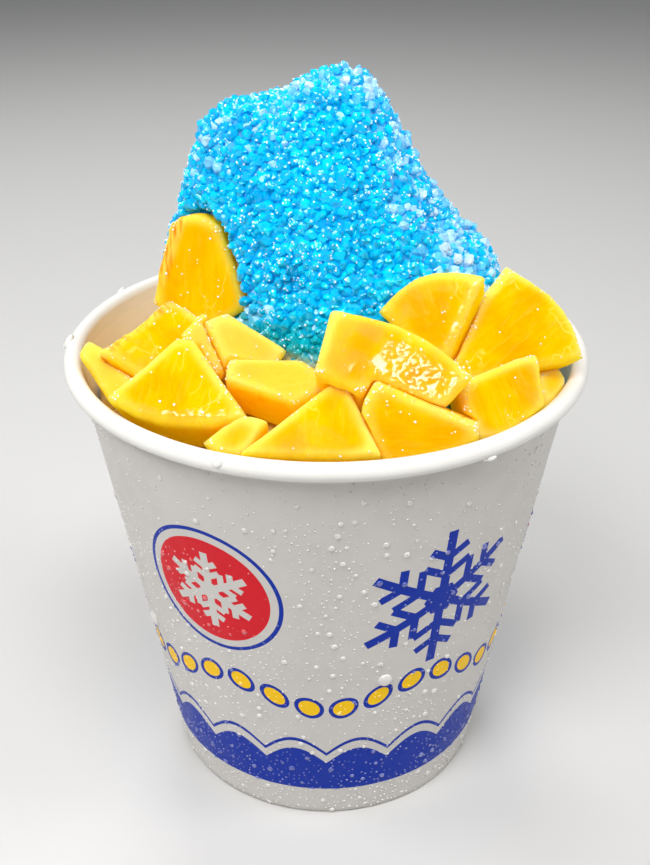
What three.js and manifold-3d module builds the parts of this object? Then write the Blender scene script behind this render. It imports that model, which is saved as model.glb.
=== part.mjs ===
// A paper cup of coarse shaved ice soaked in blue syrup, heaped with chunks of yellow peach.
// Millimetres, +Z up; the origin is on the table under the cup's middle and the front faces -Y.
import * as THREE from "three";
import { mergeVertices } from "three/addons/utils/BufferGeometryUtils.js";
import Module from "manifold-3d";

const wasm = await Module();
wasm.setup();

// Paper cup
const CUP_HEIGHT = 89;
const RIM_DIAMETER = 96;
const BASE_DIAMETER = 62;
const PAPER = 0.6;
const ROLL_RADIUS = 1.6;
const ROLL_STEPS = 8;
const ROLL_START = -140;
const ROLL_TURN = 320;
const RIM_CLEARANCE = 0.6;
const FLOOR_HEIGHT = 5;
const SKIRT = 1.8;
const CUP_SIDES = 60;

// Colours
const PAPER_WHITE = 0xf2f0ea;
const SYRUP_BLUE = 0x2fb4e6;
const PEACH_YELLOW = 0xf2b632;

// Shaved ice
const ICE_GAP = 0.4;
const ICE_FINENESS = 15;
const MOUND_AXIS = new THREE.Vector2(1.5, 5);
const MOUND_HEART = new THREE.Vector3(1.5, 5, 92);
const GRAIN = 0.75;
const LUMP_SIZE = 11;
const LUMP_SHARE = 0.05;
const GRAINS_FROM = 83;
const GRAINS_FULL = 88;
// Angles from straight up at the heart: the even mesh down to EVEN_ANGLE is drawn up to FINE_ANGLE
const EVEN_ANGLE = THREE.MathUtils.degToRad(120);
const FINE_ANGLE = THREE.MathUtils.degToRad(106);
const FARTHEST = 110;
const HALVINGS = 26;

// Reach of the mound from its axis to the left, right, front and back, at rising heights
const MOUND_HEIGHTS = [76, 84, 90, 96.5, 104, 108, 112, 117, 126, 129, 131.5, 134.5, 136, 136.8];
const MOUND_LEFT = [56, 34.5, 33, 32, 30.5, 29.8, 29, 27, 24.8, 22, 12.5, 7.5, 4.5, 0];
const MOUND_RIGHT = [60, 41, 36.5, 31, 28.5, 23.5, 20, 16.5, 11.5, 10, 8.8, 6.8, 4, 0];
const MOUND_FRONT = [60, 39, 30, 24, 20.5, 18.7, 17, 15, 10, 8.4, 6.8, 5, 3.2, 0];
const MOUND_BACK = [60, 40, 35.5, 30, 26, 24.5, 23, 20, 15, 13, 11, 7.5, 4, 0];
const MOUND_ROUNDING = { front: { left: 1.4, right: 2.2 }, back: { left: 2, right: 2 } };

// Peach chunks
const CUT_CLEARANCE = 0.45;
const EDGE_ROUND = 0.7;
const SKIN_TUCK = 1.2;
const SIDE_TAPER = 0.1;
const WAVER = 0.35;
const WAVER_SIZE = 6;

// Each chunk is cut from a peach half and lies with one cut face turned out. at is the middle of that
// face, which looks towards face (azimuth from the front, elevation); spin turns the skin side from
// downhill towards the right. length runs from the stone's side to the skin, narrow and wide are the
// widths there, skew shifts the skin side across, bulge rounds the skin, hollow is the stone's dip,
// or below 0 a rounded end.
// Earlier chunks keep their form and later ones are notched round them.
const CHUNKS = [
  { name: "peach_front_left", at: [-24, -26.8, 94.5], face: [-8, 52], spin: -5,
    length: 11.5, wide: 22, narrow: 2, skew: -2, bulge: 2.4, hollow: 0, depth: 13 },
  { name: "peach_front_middle", at: [-0.4, -37.3, 92], face: [-7, 50], spin: 3,
    length: 11, wide: 21, narrow: 2, skew: 3.5, bulge: 0.6, hollow: 0, depth: 9 },
  { name: "peach_front_right", at: [15.7, -39, 90.3], face: [3, 18], spin: -92,
    length: 15.5, wide: 12, narrow: 2.6, skew: 1.8, bulge: 2, hollow: 0, depth: 9 },
  { name: "peach_centre", at: [9.7, -33.1, 98.3], face: [6, 45], spin: 150,
    length: 9.5, wide: 24, narrow: 19, skew: 0.5, bulge: 2.3, hollow: 0, depth: 7.5 },
  { name: "peach_left_centre", at: [-10.3, -26, 94], face: [-10, 63], spin: 94,
    length: 11.5, wide: 8, narrow: 3.5, skew: 2.7, bulge: 3.8, hollow: 0, depth: 9 },
  { name: "peach_right_upper", at: [17.8, -23.2, 101.5], face: [-16, 32], spin: 205,
    length: 10.5, wide: 16.5, narrow: 2, skew: 1.4, bulge: 2.7, hollow: 0, depth: 8 },
  { name: "peach_right_back", at: [29, -19.8, 97.5], face: [18, 41], spin: 120,
    length: 20, wide: 18.8, narrow: 5, skew: 3.2, bulge: 2.3, hollow: 0, depth: 9 },
  { name: "peach_right_front", at: [29.3, -29.2, 91.5], face: [21, 40], spin: 8,
    length: 9, wide: 12.5, narrow: 14.5, skew: 2, bulge: 0.8, hollow: 0, depth: 8 },
  { name: "peach_left_tall", at: [-22.5, -6.4, 105.3], face: [-5, 18], spin: 0,
    length: 13, wide: 16, narrow: 8, skew: -1.2, bulge: 2.9, hollow: -1.6, depth: 9.5 },
  { name: "peach_left_stone", at: [-29, -14.2, 95], face: [0, 48], spin: 41,
    length: 9.5, wide: 13.5, narrow: 15, skew: -2.5, bulge: 1, hollow: 1, depth: 8 },
  { name: "peach_inner", at: [-15, -19, 97], face: [10, 45], spin: 18,
    length: 9, wide: 9, narrow: 3, skew: -3.2, bulge: 1.7, hollow: 0, depth: 7 },
  { name: "peach_left_inner", at: [-19.8, -20, 96.5], face: [15, 42], spin: 40,
    length: 7.5, wide: 6.5, narrow: 4, skew: 2.5, bulge: 1, hollow: 0, depth: 7 },
  { name: "peach_left_rim", at: [-39, -14.3, 90], face: [-25, 48], spin: 83,
    length: 10.5, wide: 6.5, narrow: 2, skew: 4, bulge: 1.4, hollow: 0, depth: 11 },
  { name: "peach_front_low", at: [-14, -36.3, 88.7], face: [-8, 50], spin: -12,
    length: 5.5, wide: 6, narrow: 3.5, skew: 2.4, bulge: 1, hollow: 0, depth: 8 },
  { name: "peach_right_rim", at: [39, -19.5, 88.5], face: [52, 48], spin: 0,
    length: 5.5, wide: 7, narrow: 7, skew: 3, bulge: 0.6, hollow: 0, depth: 5.5 },
  { name: "peach_right_side", at: [37, 3, 94], face: [88, 46], spin: 10,
    length: 13, wide: 17, narrow: 3, skew: 2, bulge: 2.2, hollow: 0, depth: 9 },
  { name: "peach_back_right", at: [26.5, 25.5, 95], face: [140, 48], spin: -15,
    length: 13, wide: 20, narrow: 3, skew: -2, bulge: 2.4, hollow: 0, depth: 10 },
  { name: "peach_back_middle", at: [4, 38.5, 93], face: [176, 50], spin: 12,
    length: 12, wide: 21, narrow: 4, skew: 3, bulge: 1.6, hollow: 0, depth: 9 },
  { name: "peach_back_upper", at: [8, 33.5, 105], face: [170, 34], spin: 150,
    length: 12, wide: 18, narrow: 6, skew: 1, bulge: 2.2, hollow: 0, depth: 8 },
  { name: "peach_back_left", at: [-17, 33.5, 94], face: [207, 52], spin: -8,
    length: 12.5, wide: 19, narrow: 5, skew: -2, bulge: 2, hollow: 1, depth: 9 },
];

function betweenLevels(values, z) {
  let i = 1;
  while (i < MOUND_HEIGHTS.length - 1 && z > MOUND_HEIGHTS[i]) i += 1;
  const share = (z - MOUND_HEIGHTS[i - 1]) / (MOUND_HEIGHTS[i] - MOUND_HEIGHTS[i - 1]);
  return THREE.MathUtils.lerp(values[i - 1], values[i], THREE.MathUtils.clamp(share, 0, 1));
}

function latticeValue(i, j, k) {
  const wave = Math.sin(i * 127.1 + j * 311.7 + k * 74.7) * 43758.5453;
  return 2 * (wave - Math.floor(wave)) - 1;
}

function smoothNoise(x, y, z) {
  const cell = [x, y, z].map(Math.floor);
  const part = [x - cell[0], y - cell[1], z - cell[2]].map((t) => t * t * (3 - 2 * t));
  let sum = 0;
  for (let corner = 0; corner < 8; corner += 1) {
    const step = [corner & 1, (corner >> 1) & 1, (corner >> 2) & 1];
    const weight = step.reduce((w, s, axis) => w * (s ? part[axis] : 1 - part[axis]), 1);
    sum += weight * latticeValue(cell[0] + step[0], cell[1] + step[1], cell[2] + step[2]);
  }
  return sum;
}

function outerRadius(z) {
  const topRadius = RIM_DIAMETER / 2 - 2 * ROLL_RADIUS + PAPER;
  return THREE.MathUtils.lerp(BASE_DIAMETER / 2, topRadius, z / (CUP_HEIGHT - ROLL_RADIUS));
}

function innerRadius(z) {
  return outerRadius(z) - PAPER;
}

// Wall, rolled rim and a floor that is set up above the skirt
function cupGeometry() {
  const profile = [
    new THREE.Vector2(0, FLOOR_HEIGHT),
    new THREE.Vector2(outerRadius(FLOOR_HEIGHT) - SKIRT, FLOOR_HEIGHT),
    new THREE.Vector2(outerRadius(0) - SKIRT, 0),
    new THREE.Vector2(outerRadius(0), 0),
  ];
  const rollCentre = new THREE.Vector2(RIM_DIAMETER / 2 - ROLL_RADIUS, CUP_HEIGHT - ROLL_RADIUS);
  for (let i = 0; i <= ROLL_STEPS; i += 1) {
    const turn = THREE.MathUtils.degToRad(ROLL_START + (ROLL_TURN * i) / ROLL_STEPS);
    const spoke = new THREE.Vector2(Math.cos(turn), Math.sin(turn));
    profile.push(spoke.multiplyScalar(ROLL_RADIUS).add(rollCentre));
  }
  profile.push(new THREE.Vector2(innerRadius(FLOOR_HEIGHT + PAPER), FLOOR_HEIGHT + PAPER));
  profile.push(new THREE.Vector2(0, FLOOR_HEIGHT + PAPER));
  return new THREE.LatheGeometry(profile, CUP_SIDES).rotateX(Math.PI / 2);
}

// The room that the contents may take: inside the wall, and above the rim no wider than the rim
function roomGeometry() {
  const profile = [
    new THREE.Vector2(0, FLOOR_HEIGHT + PAPER + ICE_GAP),
    new THREE.Vector2(innerRadius(FLOOR_HEIGHT + PAPER) - ICE_GAP, FLOOR_HEIGHT + PAPER + ICE_GAP),
    new THREE.Vector2(innerRadius(CUP_HEIGHT - ROLL_RADIUS) - ICE_GAP, CUP_HEIGHT - ROLL_RADIUS),
    new THREE.Vector2(RIM_DIAMETER / 2 - 1.5 * ROLL_RADIUS, CUP_HEIGHT + ICE_GAP),
    new THREE.Vector2(RIM_DIAMETER / 2 - RIM_CLEARANCE, CUP_HEIGHT + ICE_GAP),
    new THREE.Vector2(RIM_DIAMETER / 2 - RIM_CLEARANCE, 2 * CUP_HEIGHT),
    new THREE.Vector2(0, 2 * CUP_HEIGHT),
  ];
  return new THREE.LatheGeometry(profile, CUP_SIDES).rotateX(Math.PI / 2);
}

function insideIce(p) {
  const z = p.z;
  if (z < FLOOR_HEIGHT + PAPER + ICE_GAP) return false;
  if (z < CUP_HEIGHT && Math.hypot(p.x, p.y) > innerRadius(z) - ICE_GAP) return false;
  if (z > MOUND_HEIGHTS[MOUND_HEIGHTS.length - 1]) return false;
  const dx = p.x - MOUND_AXIS.x;
  const dy = p.y - MOUND_AXIS.y;
  const across = betweenLevels(dx < 0 ? MOUND_LEFT : MOUND_RIGHT, z);
  const along = betweenLevels(dy < 0 ? MOUND_FRONT : MOUND_BACK, z);
  const lumps = 1 + LUMP_SHARE * smoothNoise(p.x / LUMP_SIZE, p.y / LUMP_SIZE, z / LUMP_SIZE);
  const power = MOUND_ROUNDING[dy < 0 ? "front" : "back"][dx < 0 ? "left" : "right"];
  return Math.abs(dx / across) ** power + Math.abs(dy / along) ** power < lumps;
}

// The heap is felt outwards from its heart; most of the mesh is spent above the cup's rim
function iceGeometry() {
  const ball = new THREE.IcosahedronGeometry(1, ICE_FINENESS);
  ball.deleteAttribute("normal");
  ball.deleteAttribute("uv");
  const geometry = mergeVertices(ball, 1e-5);
  const place = geometry.getAttribute("position");
  const ray = new THREE.Vector3();
  const probe = new THREE.Vector3();
  for (let i = 0; i < place.count; i += 1) {
    ray.fromBufferAttribute(place, i).normalize();
    const polar = Math.acos(ray.z);
    const tilt = polar < EVEN_ANGLE
      ? (polar * FINE_ANGLE) / EVEN_ANGLE
      : FINE_ANGLE + ((polar - EVEN_ANGLE) * (Math.PI - FINE_ANGLE)) / (Math.PI - EVEN_ANGLE);
    const turn = Math.atan2(ray.y, ray.x);
    ray.set(Math.sin(tilt) * Math.cos(turn), Math.sin(tilt) * Math.sin(turn), Math.cos(tilt));
    let near = 0;
    let far = FARTHEST;
    for (let pass = 0; pass < HALVINGS; pass += 1) {
      const middle = (near + far) / 2;
      probe.copy(ray).multiplyScalar(middle).add(MOUND_HEART);
      if (insideIce(probe)) near = middle;
      else far = middle;
    }
    probe.copy(ray).multiplyScalar(near).add(MOUND_HEART);
    const shown = THREE.MathUtils.smoothstep(probe.z, GRAINS_FROM, GRAINS_FULL);
    probe.addScaledVector(ray, GRAIN * shown * latticeValue(i, 0, 0));
    place.setXYZ(i, probe.x, probe.y, probe.z);
  }
  return geometry;
}

// A chunk at its own size, or wider by margin all round as the room its neighbours leave it
function chunkGeometry(chunk, seed, margin) {
  const { skew, bulge, hollow } = chunk;
  const [length, wide, narrow, depth] = [chunk.length, chunk.wide, chunk.narrow, chunk.depth].map(
    (size) => size + 2 * margin,
  );
  const outline = new THREE.Shape();
  outline.moveTo((narrow - skew) / 2, -length / 2);
  outline.lineTo((wide + skew) / 2, length / 2);
  outline.quadraticCurveTo(skew / 2, length / 2 + 2 * bulge, (skew - wide) / 2, length / 2);
  outline.lineTo(-(narrow + skew) / 2, -length / 2);
  outline.quadraticCurveTo(-skew / 2, -length / 2 + 2 * hollow, (narrow - skew) / 2, -length / 2);
  const slab = new THREE.ExtrudeGeometry(outline, {
    depth: depth - 2 * EDGE_ROUND,
    steps: 2,
    curveSegments: 5,
    bevelThickness: EDGE_ROUND,
    bevelSize: EDGE_ROUND,
    bevelSegments: 1,
  });
  slab.deleteAttribute("normal");
  slab.deleteAttribute("uv");
  const geometry = mergeVertices(slab.translate(0, 0, EDGE_ROUND - depth + margin), 1e-3);
  const place = geometry.getAttribute("position");
  for (let i = 0; i < place.count; i += 1) {
    const x = place.getX(i);
    const y = place.getY(i);
    const z = place.getZ(i);
    // the skin rounds in and the cut sides close a little towards the underside
    const under = Math.max(0, -z / chunk.depth);
    const skinShare = THREE.MathUtils.clamp(y / chunk.length + 0.5, 0, 1.2);
    const [u, v, w] = [x, y, z].map((size) => size / WAVER_SIZE);
    const waver = [0, 1, 2].map((axis) => WAVER * smoothNoise(u + 9 * seed, v + 5 * axis, w));
    place.setXYZ(
      i,
      x * (1 - SIDE_TAPER * under) + waver[0],
      y - SKIN_TUCK * skinShare * under * under + waver[1],
      z + waver[2],
    );
  }
  return geometry;
}

function chunkPlace({ at, face, spin }) {
  const [azimuth, elevation] = face.map(THREE.MathUtils.degToRad);
  const turn = THREE.MathUtils.degToRad(spin);
  const outward = new THREE.Vector3(Math.sin(azimuth), -Math.cos(azimuth), 0);
  const up = new THREE.Vector3(0, 0, 1);
  const level = Math.cos(elevation);
  const steep = Math.sin(elevation);
  const normal = outward.clone().multiplyScalar(level).addScaledVector(up, steep);
  const downhill = outward.clone().multiplyScalar(steep).addScaledVector(up, -level);
  const skinward = downhill.applyAxisAngle(normal, turn);
  const side = new THREE.Vector3().crossVectors(skinward, normal);
  return new THREE.Matrix4().makeBasis(side, skinward, normal).setPosition(...at);
}

function solidOf(geometry) {
  const bare = geometry.clone();
  for (const name of Object.keys(bare.attributes)) {
    if (name !== "position") bare.deleteAttribute(name);
  }
  const merged = mergeVertices(bare, 1e-4);
  const mesh = new wasm.Mesh({
    numProp: 3,
    vertProperties: new Float32Array(merged.getAttribute("position").array),
    triVerts: new Uint32Array(merged.index.array),
  });
  mesh.merge();
  return new wasm.Manifold(mesh);
}

function geometryOf(solid) {
  const mesh = solid.getMesh();
  const geometry = new THREE.BufferGeometry();
  geometry.setAttribute("position", new THREE.BufferAttribute(new Float32Array(mesh.vertProperties), 3));
  geometry.setIndex(new THREE.BufferAttribute(new Uint32Array(mesh.triVerts), 1));
  return geometry;
}

function piece(name, geometry, color, roughness) {
  geometry.computeVertexNormals();
  const mesh = new THREE.Mesh(geometry, new THREE.MeshStandardMaterial({ color, roughness }));
  mesh.name = name;
  return mesh;
}

const dessert = new THREE.Group();
dessert.name = "shaved_ice_dessert";
const topping = new THREE.Group();
topping.name = "topping";

const cup = piece("paper_cup", cupGeometry(), PAPER_WHITE, 0.55);
const room = solidOf(roomGeometry());
const taken = [];
CHUNKS.forEach((chunk, index) => {
  const place = chunkPlace(chunk);
  let solid = solidOf(chunkGeometry(chunk, index, 0).applyMatrix4(place)).intersect(room);
  for (const other of taken) solid = solid.subtract(other);
  taken.push(solidOf(chunkGeometry(chunk, index, CUT_CLEARANCE).applyMatrix4(place)));
  const local = geometryOf(solid).applyMatrix4(place.clone().invert());
  const mesh = piece(chunk.name, local, PEACH_YELLOW, 0.25);
  mesh.applyMatrix4(place);
  topping.add(mesh);
});

let ice = solidOf(iceGeometry());
for (const other of taken) ice = ice.subtract(other);
dessert.add(cup, piece("shaved_ice", geometryOf(ice), SYRUP_BLUE, 0.2), topping);

export default dessert;
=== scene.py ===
"""A paper cup of coarse shaved ice in blue syrup, heaped with chunks of yellow peach."""

import math

import bmesh
import bpy
import numpy as np
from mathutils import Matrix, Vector
from mathutils.bvhtree import BVHTree


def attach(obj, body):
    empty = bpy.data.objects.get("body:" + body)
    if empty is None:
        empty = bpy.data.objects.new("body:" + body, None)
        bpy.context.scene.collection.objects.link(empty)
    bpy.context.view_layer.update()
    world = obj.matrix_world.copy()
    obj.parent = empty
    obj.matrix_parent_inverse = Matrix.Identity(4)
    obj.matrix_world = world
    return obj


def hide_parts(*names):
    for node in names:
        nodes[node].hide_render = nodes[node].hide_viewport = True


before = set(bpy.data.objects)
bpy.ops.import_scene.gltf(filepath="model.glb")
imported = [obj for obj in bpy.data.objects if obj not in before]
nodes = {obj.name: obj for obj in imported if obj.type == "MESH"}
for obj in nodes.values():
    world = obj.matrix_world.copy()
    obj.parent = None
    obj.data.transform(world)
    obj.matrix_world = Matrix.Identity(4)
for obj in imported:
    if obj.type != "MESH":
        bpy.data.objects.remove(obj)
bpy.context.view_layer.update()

MM = 0.001

# Paper cup, in millimetres
CUP_HEIGHT = 89
RIM_RADIUS = 48
BASE_RADIUS = 31
PAPER = 0.6
ROLL_RADIUS = 1.6
FLOOR_HEIGHT = 5
SKIRT = 1.8
CUP_SIDES = 240
WALL_TOP = CUP_HEIGHT - ROLL_RADIUS
WALL_FLARE = RIM_RADIUS - 2 * ROLL_RADIUS + PAPER - BASE_RADIUS
SEAM_AT = math.radians(118)
SEAM_STEP = 0.28

# Peach chunks: middle of the cut face, where that face looks (azimuth, elevation), turn of the skin
# side, length from stone to skin, wider and narrower side, in millimetres and degrees
CHUNKS = {
    "front_left": ((-24, -26.8, 94.5), -8, 52, -5, 11.5, 22, 2),
    "front_middle": ((-0.4, -37.3, 92), -7, 50, 3, 11, 21, 2),
    "front_right": ((15.7, -39, 90.3), 3, 18, -92, 15.5, 12, 2.6),
    "centre": ((9.7, -33.1, 98.3), 6, 45, 150, 9.5, 24, 19),
    "left_centre": ((-10.3, -26, 94), -10, 63, 94, 11.5, 8, 3.5),
    "right_upper": ((17.8, -23.2, 101.5), -16, 32, 205, 10.5, 16.5, 2),
    "right_back": ((29, -19.8, 97.5), 18, 41, 120, 20, 18.8, 5),
    "right_front": ((29.3, -29.2, 91.5), 21, 40, 8, 9, 12.5, 14.5),
    "left_tall": ((-22.5, -6.4, 105.3), -5, 18, 0, 13, 16, 8),
    "left_stone": ((-29, -14.2, 95), 0, 48, 41, 9.5, 13.5, 15),
    "inner": ((-15, -19, 97), 10, 45, 18, 9, 9, 3),
    "left_inner": ((-19.8, -20, 96.5), 15, 42, 40, 7.5, 6.5, 4),
    "left_rim": ((-39, -14.3, 90), -25, 48, 83, 10.5, 6.5, 2),
    "front_low": ((-14, -36.3, 88.7), -8, 50, -12, 5.5, 6, 3.5),
    "right_rim": ((39, -19.5, 88.5), 52, 48, 0, 5.5, 7, 7),
    "right_side": ((37, 3, 94), 88, 46, 10, 13, 17, 3),
    "back_right": ((26.5, 25.5, 95), 140, 48, -15, 13, 20, 3),
    "back_middle": ((4, 38.5, 93), 176, 50, 12, 12, 21, 4),
    "back_upper": ((8, 33.5, 105), 170, 34, 150, 12, 18, 6),
    "back_left": ((-17, 33.5, 94), 207, 52, -8, 12.5, 19, 5),
}


# Numbers over many points at once

def smoothstep(low, high, value):
    share = np.clip((value - low) / (high - low), 0, 1)
    return share * share * (3 - 2 * share)


def lattice(cells, seed):
    """A fixed random number from 0 to 1 for each whole-numbered cell."""
    key = cells[..., 0] * 73856093 ^ cells[..., 1] * 19349663 ^ cells[..., 2] * 83492791
    key = (key ^ (seed * 40503 + 977)) & 0xFFFFFFFF
    key = ((key ^ (key >> 15)) * 2246822519) & 0xFFFFFFFF
    key = ((key ^ (key >> 13)) * 3266489917) & 0xFFFFFFFF
    return ((key ^ (key >> 16)) & 0xFFFFFF) / 0xFFFFFF


def clouds(points, size, seed):
    """Smooth noise from -1 to 1 with features of about that size."""
    scaled = points / size
    cells = np.floor(scaled).astype(np.int64)
    part = scaled - cells
    part = part * part * (3 - 2 * part)
    total = np.zeros(len(points))
    for corner in range(8):
        step = np.array([corner & 1, corner >> 1 & 1, corner >> 2 & 1])
        weight = np.prod(np.where(step, part, 1 - part), axis=1)
        total += weight * lattice(cells + step, seed)
    return 2 * total - 1


def pebbles(points, size, seed):
    """Rounded cells packed side by side: 1 at a cell's middle, falling to 0 between cells."""
    scaled = points / size
    cells = np.floor(scaled).astype(np.int64)
    nearest = np.full(len(points), 9.0)
    for i in (-1, 0, 1):
        for j in (-1, 0, 1):
            for k in (-1, 0, 1):
                cell = cells + np.array([i, j, k])
                heart = cell + np.stack([lattice(cell, seed + s) for s in range(3)], axis=1)
                nearest = np.minimum(nearest, np.sum((heart - scaled) ** 2, axis=1))
    return np.clip(1 - nearest / 0.7, 0, 1)


# Meshes

def vertices_of(mesh):
    flat = np.empty(len(mesh.vertices) * 3, np.float32)
    mesh.vertices.foreach_get("co", flat)
    return flat.reshape(-1, 3).astype(float) / MM


def normals_of(mesh):
    flat = np.empty(len(mesh.vertices) * 3, np.float32)
    mesh.vertex_normals.foreach_get("vector", flat)
    return flat.reshape(-1, 3).astype(float)


def move_vertices(mesh, points):
    mesh.vertices.foreach_set("co", (points * MM).astype(np.float32).ravel())
    mesh.update()


def softened(mesh, points, passes):
    """The points after each has moved halfway to the mean of its neighbours, that many times."""
    pairs = np.empty(len(mesh.edges) * 2, np.int32)
    mesh.edges.foreach_get("vertices", pairs)
    one, two = pairs.reshape(-1, 2).T
    count = np.bincount(np.concatenate([one, two]), minlength=len(points))
    count = np.maximum(count, 1)[:, None]
    for _ in range(passes):
        total = np.empty_like(points)
        for axis in range(3):
            values = np.concatenate([points[two, axis], points[one, axis]])
            total[:, axis] = np.bincount(
                np.concatenate([one, two]), weights=values, minlength=len(points)
            )
        points = 0.5 * points + 0.5 * total / count
    return points


def paint(mesh, name, values):
    """Keeps a number or a vector for each vertex, for the materials to read."""
    kind = "FLOAT" if values.ndim == 1 else "FLOAT_VECTOR"
    attribute = mesh.attributes.new(name, kind, "POINT")
    field = "value" if values.ndim == 1 else "vector"
    attribute.data.foreach_set(field, values.astype(np.float32).ravel())


def place_object(name, data):
    thing = bpy.data.objects.new(name, data)
    bpy.context.scene.collection.objects.link(thing)
    return thing


def made_real(thing):
    """Replaces an object that has modifiers by a plain mesh object of the same name."""
    bpy.context.view_layer.update()
    graph = bpy.context.evaluated_depsgraph_get()
    mesh = bpy.data.meshes.new_from_object(
        thing.evaluated_get(graph), preserve_all_data_layers=True, depsgraph=graph
    )
    thing.modifiers.clear()
    name = thing.name
    old = thing.data
    bpy.data.objects.remove(thing)
    if not old.users:
        bpy.data.meshes.remove(old)
    return place_object(name, mesh)


def remeshed(node, name, voxel):
    """A copy of a CAD node with an even, closed skin of small quads."""
    mesh = nodes[node].data.copy()
    sheet = bmesh.new()
    sheet.from_mesh(mesh)
    bmesh.ops.remove_doubles(sheet, verts=sheet.verts, dist=1e-6)
    sheet.to_mesh(mesh)
    sheet.free()
    mesh.materials.clear()
    copy = place_object(name, mesh)
    skin = copy.modifiers.new("skin", "REMESH")
    skin.mode = "VOXEL"
    skin.voxel_size = voxel * MM
    copy = made_real(copy)
    copy.data.shade_smooth()
    return copy


def faces_of(pieces):
    """Corners and faces of all the pieces, as one list of each."""
    corners, faces = [], []
    for piece in pieces:
        offset = len(corners)
        corners += [v.co[:] for v in piece.data.vertices]
        faces += [[offset + i for i in p.vertices] for p in piece.data.polygons]
    return corners, faces


def finish_piece(piece, finish, slot, *stands_for):
    """Gives a piece its finish and body and hides the CAD nodes it stands for; slot is not used."""
    if finish is not None:
        piece.data.materials.clear()
        piece.data.materials.append(finish)
    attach(piece, "root")
    if stands_for:
        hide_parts(*stands_for)


# Node trees

class Wiring:
    """Adds nodes to one tree and joins them; a plain value is set on the socket itself."""

    def __init__(self, tree):
        self.tree = tree

    def node(self, kind, **settings):
        made = self.tree.nodes.new(kind)
        for key, value in settings.items():
            setattr(made, key, value)
        return made

    def join(self, value, socket):
        if isinstance(value, bpy.types.NodeSocket):
            self.tree.links.new(value, socket)
        else:
            socket.default_value = value

    def math(self, operation, *values, clamp=False):
        made = self.node("ShaderNodeMath", operation=operation, use_clamp=clamp)
        for value, socket in zip(values, made.inputs):
            self.join(value, socket)
        return made.outputs[0]

    def product(self, *values):
        """All the values multiplied together."""
        result = values[0]
        for value in values[1:]:
            result = self.math("MULTIPLY", result, value)
        return result

    def reach(self, x, y):
        """How far the point x, y is from the middle."""
        return self.math("SQRT", self.math("ADD", self.product(x, x), self.product(y, y)))

    def between(self, value, low, high):
        """1 where the value lies between the two bounds, and 0 elsewhere."""
        return self.product(self.math("GREATER_THAN", value, low), self.math("LESS_THAN", value, high))

    def vector(self, operation, *values):
        made = self.node("ShaderNodeVectorMath", operation=operation)
        for value, socket in zip(values, made.inputs):
            self.join(value, socket)
        return made.outputs[0]

    def scaled(self, vector, share):
        """The vector made longer or shorter by that share."""
        made = self.node("ShaderNodeVectorMath", operation="SCALE")
        self.join(vector, made.inputs[0])
        self.join(share, made.inputs["Scale"])
        return made.outputs[0]

    def within(self, value, low, high):
        """0 below low, 1 above high and smooth between; the other way round if low is above high."""
        made = self.node("ShaderNodeMapRange", interpolation_type="SMOOTHSTEP")
        flipped = low > high
        self.join(value, made.inputs["Value"])
        made.inputs["From Min"].default_value = high if flipped else low
        made.inputs["From Max"].default_value = low if flipped else high
        made.inputs["To Min"].default_value = 1 if flipped else 0
        made.inputs["To Max"].default_value = 0 if flipped else 1
        return made.outputs["Result"]

    def blend(self, share, under, over):
        made = self.node("ShaderNodeMix", data_type="RGBA")
        self.join(share, made.inputs[0])
        self.join(colour(under), made.inputs[6])
        self.join(colour(over), made.inputs[7])
        return made.outputs[2]

    def noise(self, place, size, detail=2, stretch=(1, 1, 1)):
        """Noise with features of about that many millimetres, drawn out along each axis by stretch."""
        scale = [1 / (size * MM * s) for s in stretch]
        made = self.node("ShaderNodeTexNoise")
        made.inputs["Scale"].default_value = 1
        made.inputs["Detail"].default_value = detail
        self.join(self.vector("MULTIPLY", place, scale), made.inputs["Vector"])
        return made.outputs["Fac"]

    def attribute(self, name, out="Fac"):
        return self.node("ShaderNodeAttribute", attribute_name=name).outputs[out]


def new_group(name, inputs, outputs, kind="ShaderNodeTree"):
    """A node group with named sockets: its wiring, what comes in and what goes out."""
    tree = bpy.data.node_groups.new(name, kind)
    for in_out, sockets in (("INPUT", inputs), ("OUTPUT", outputs)):
        for label, holds in sockets.items():
            tree.interface.new_socket(label, in_out=in_out, socket_type="NodeSocket" + holds)
    wiring = Wiring(tree)
    return wiring, wiring.node("NodeGroupInput").outputs, wiring.node("NodeGroupOutput").inputs


def colour(value):
    if isinstance(value, (tuple, list)) and len(value) == 3:
        return (*value, 1)
    return value


def shade(red, green, blue):
    """A colour as seen on a screen, 0 to 255, in the light values that shaders use."""
    return tuple(
        c / 12.92 if c <= 0.04045 else ((c + 0.055) / 1.055) ** 2.4
        for c in (red / 255, green / 255, blue / 255)
    )


def material(name, **values):
    """A material with one Principled shader; values are set on the shader's own sockets."""
    made = bpy.data.materials.new(name)
    made.use_nodes = True
    wiring = Wiring(made.node_tree)
    shader = made.node_tree.nodes["Principled BSDF"]
    for key, value in values.items():
        socket = shader.inputs[key.replace("_", " ")]
        socket.default_value = colour(value) if socket.type == "RGBA" else value
    return made, wiring, shader


def add_bump(wiring, shader, height, depth, *sockets, strength=1.0, over=None):
    """Relief of that depth in millimetres, drawn by a height from 0 to 1, for the named normals."""
    bump = wiring.node("ShaderNodeBump")
    if over is not None:
        wiring.join(over, bump.inputs["Normal"])
    bump.inputs["Strength"].default_value = strength
    bump.inputs["Distance"].default_value = depth * MM
    wiring.join(height, bump.inputs["Height"])
    for socket in sockets or ("Normal", "Coat Normal"):
        wiring.join(bump.outputs["Normal"], shader.inputs[socket])
    return bump.outputs["Normal"]


# Shader groups that several finishes share

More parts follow.
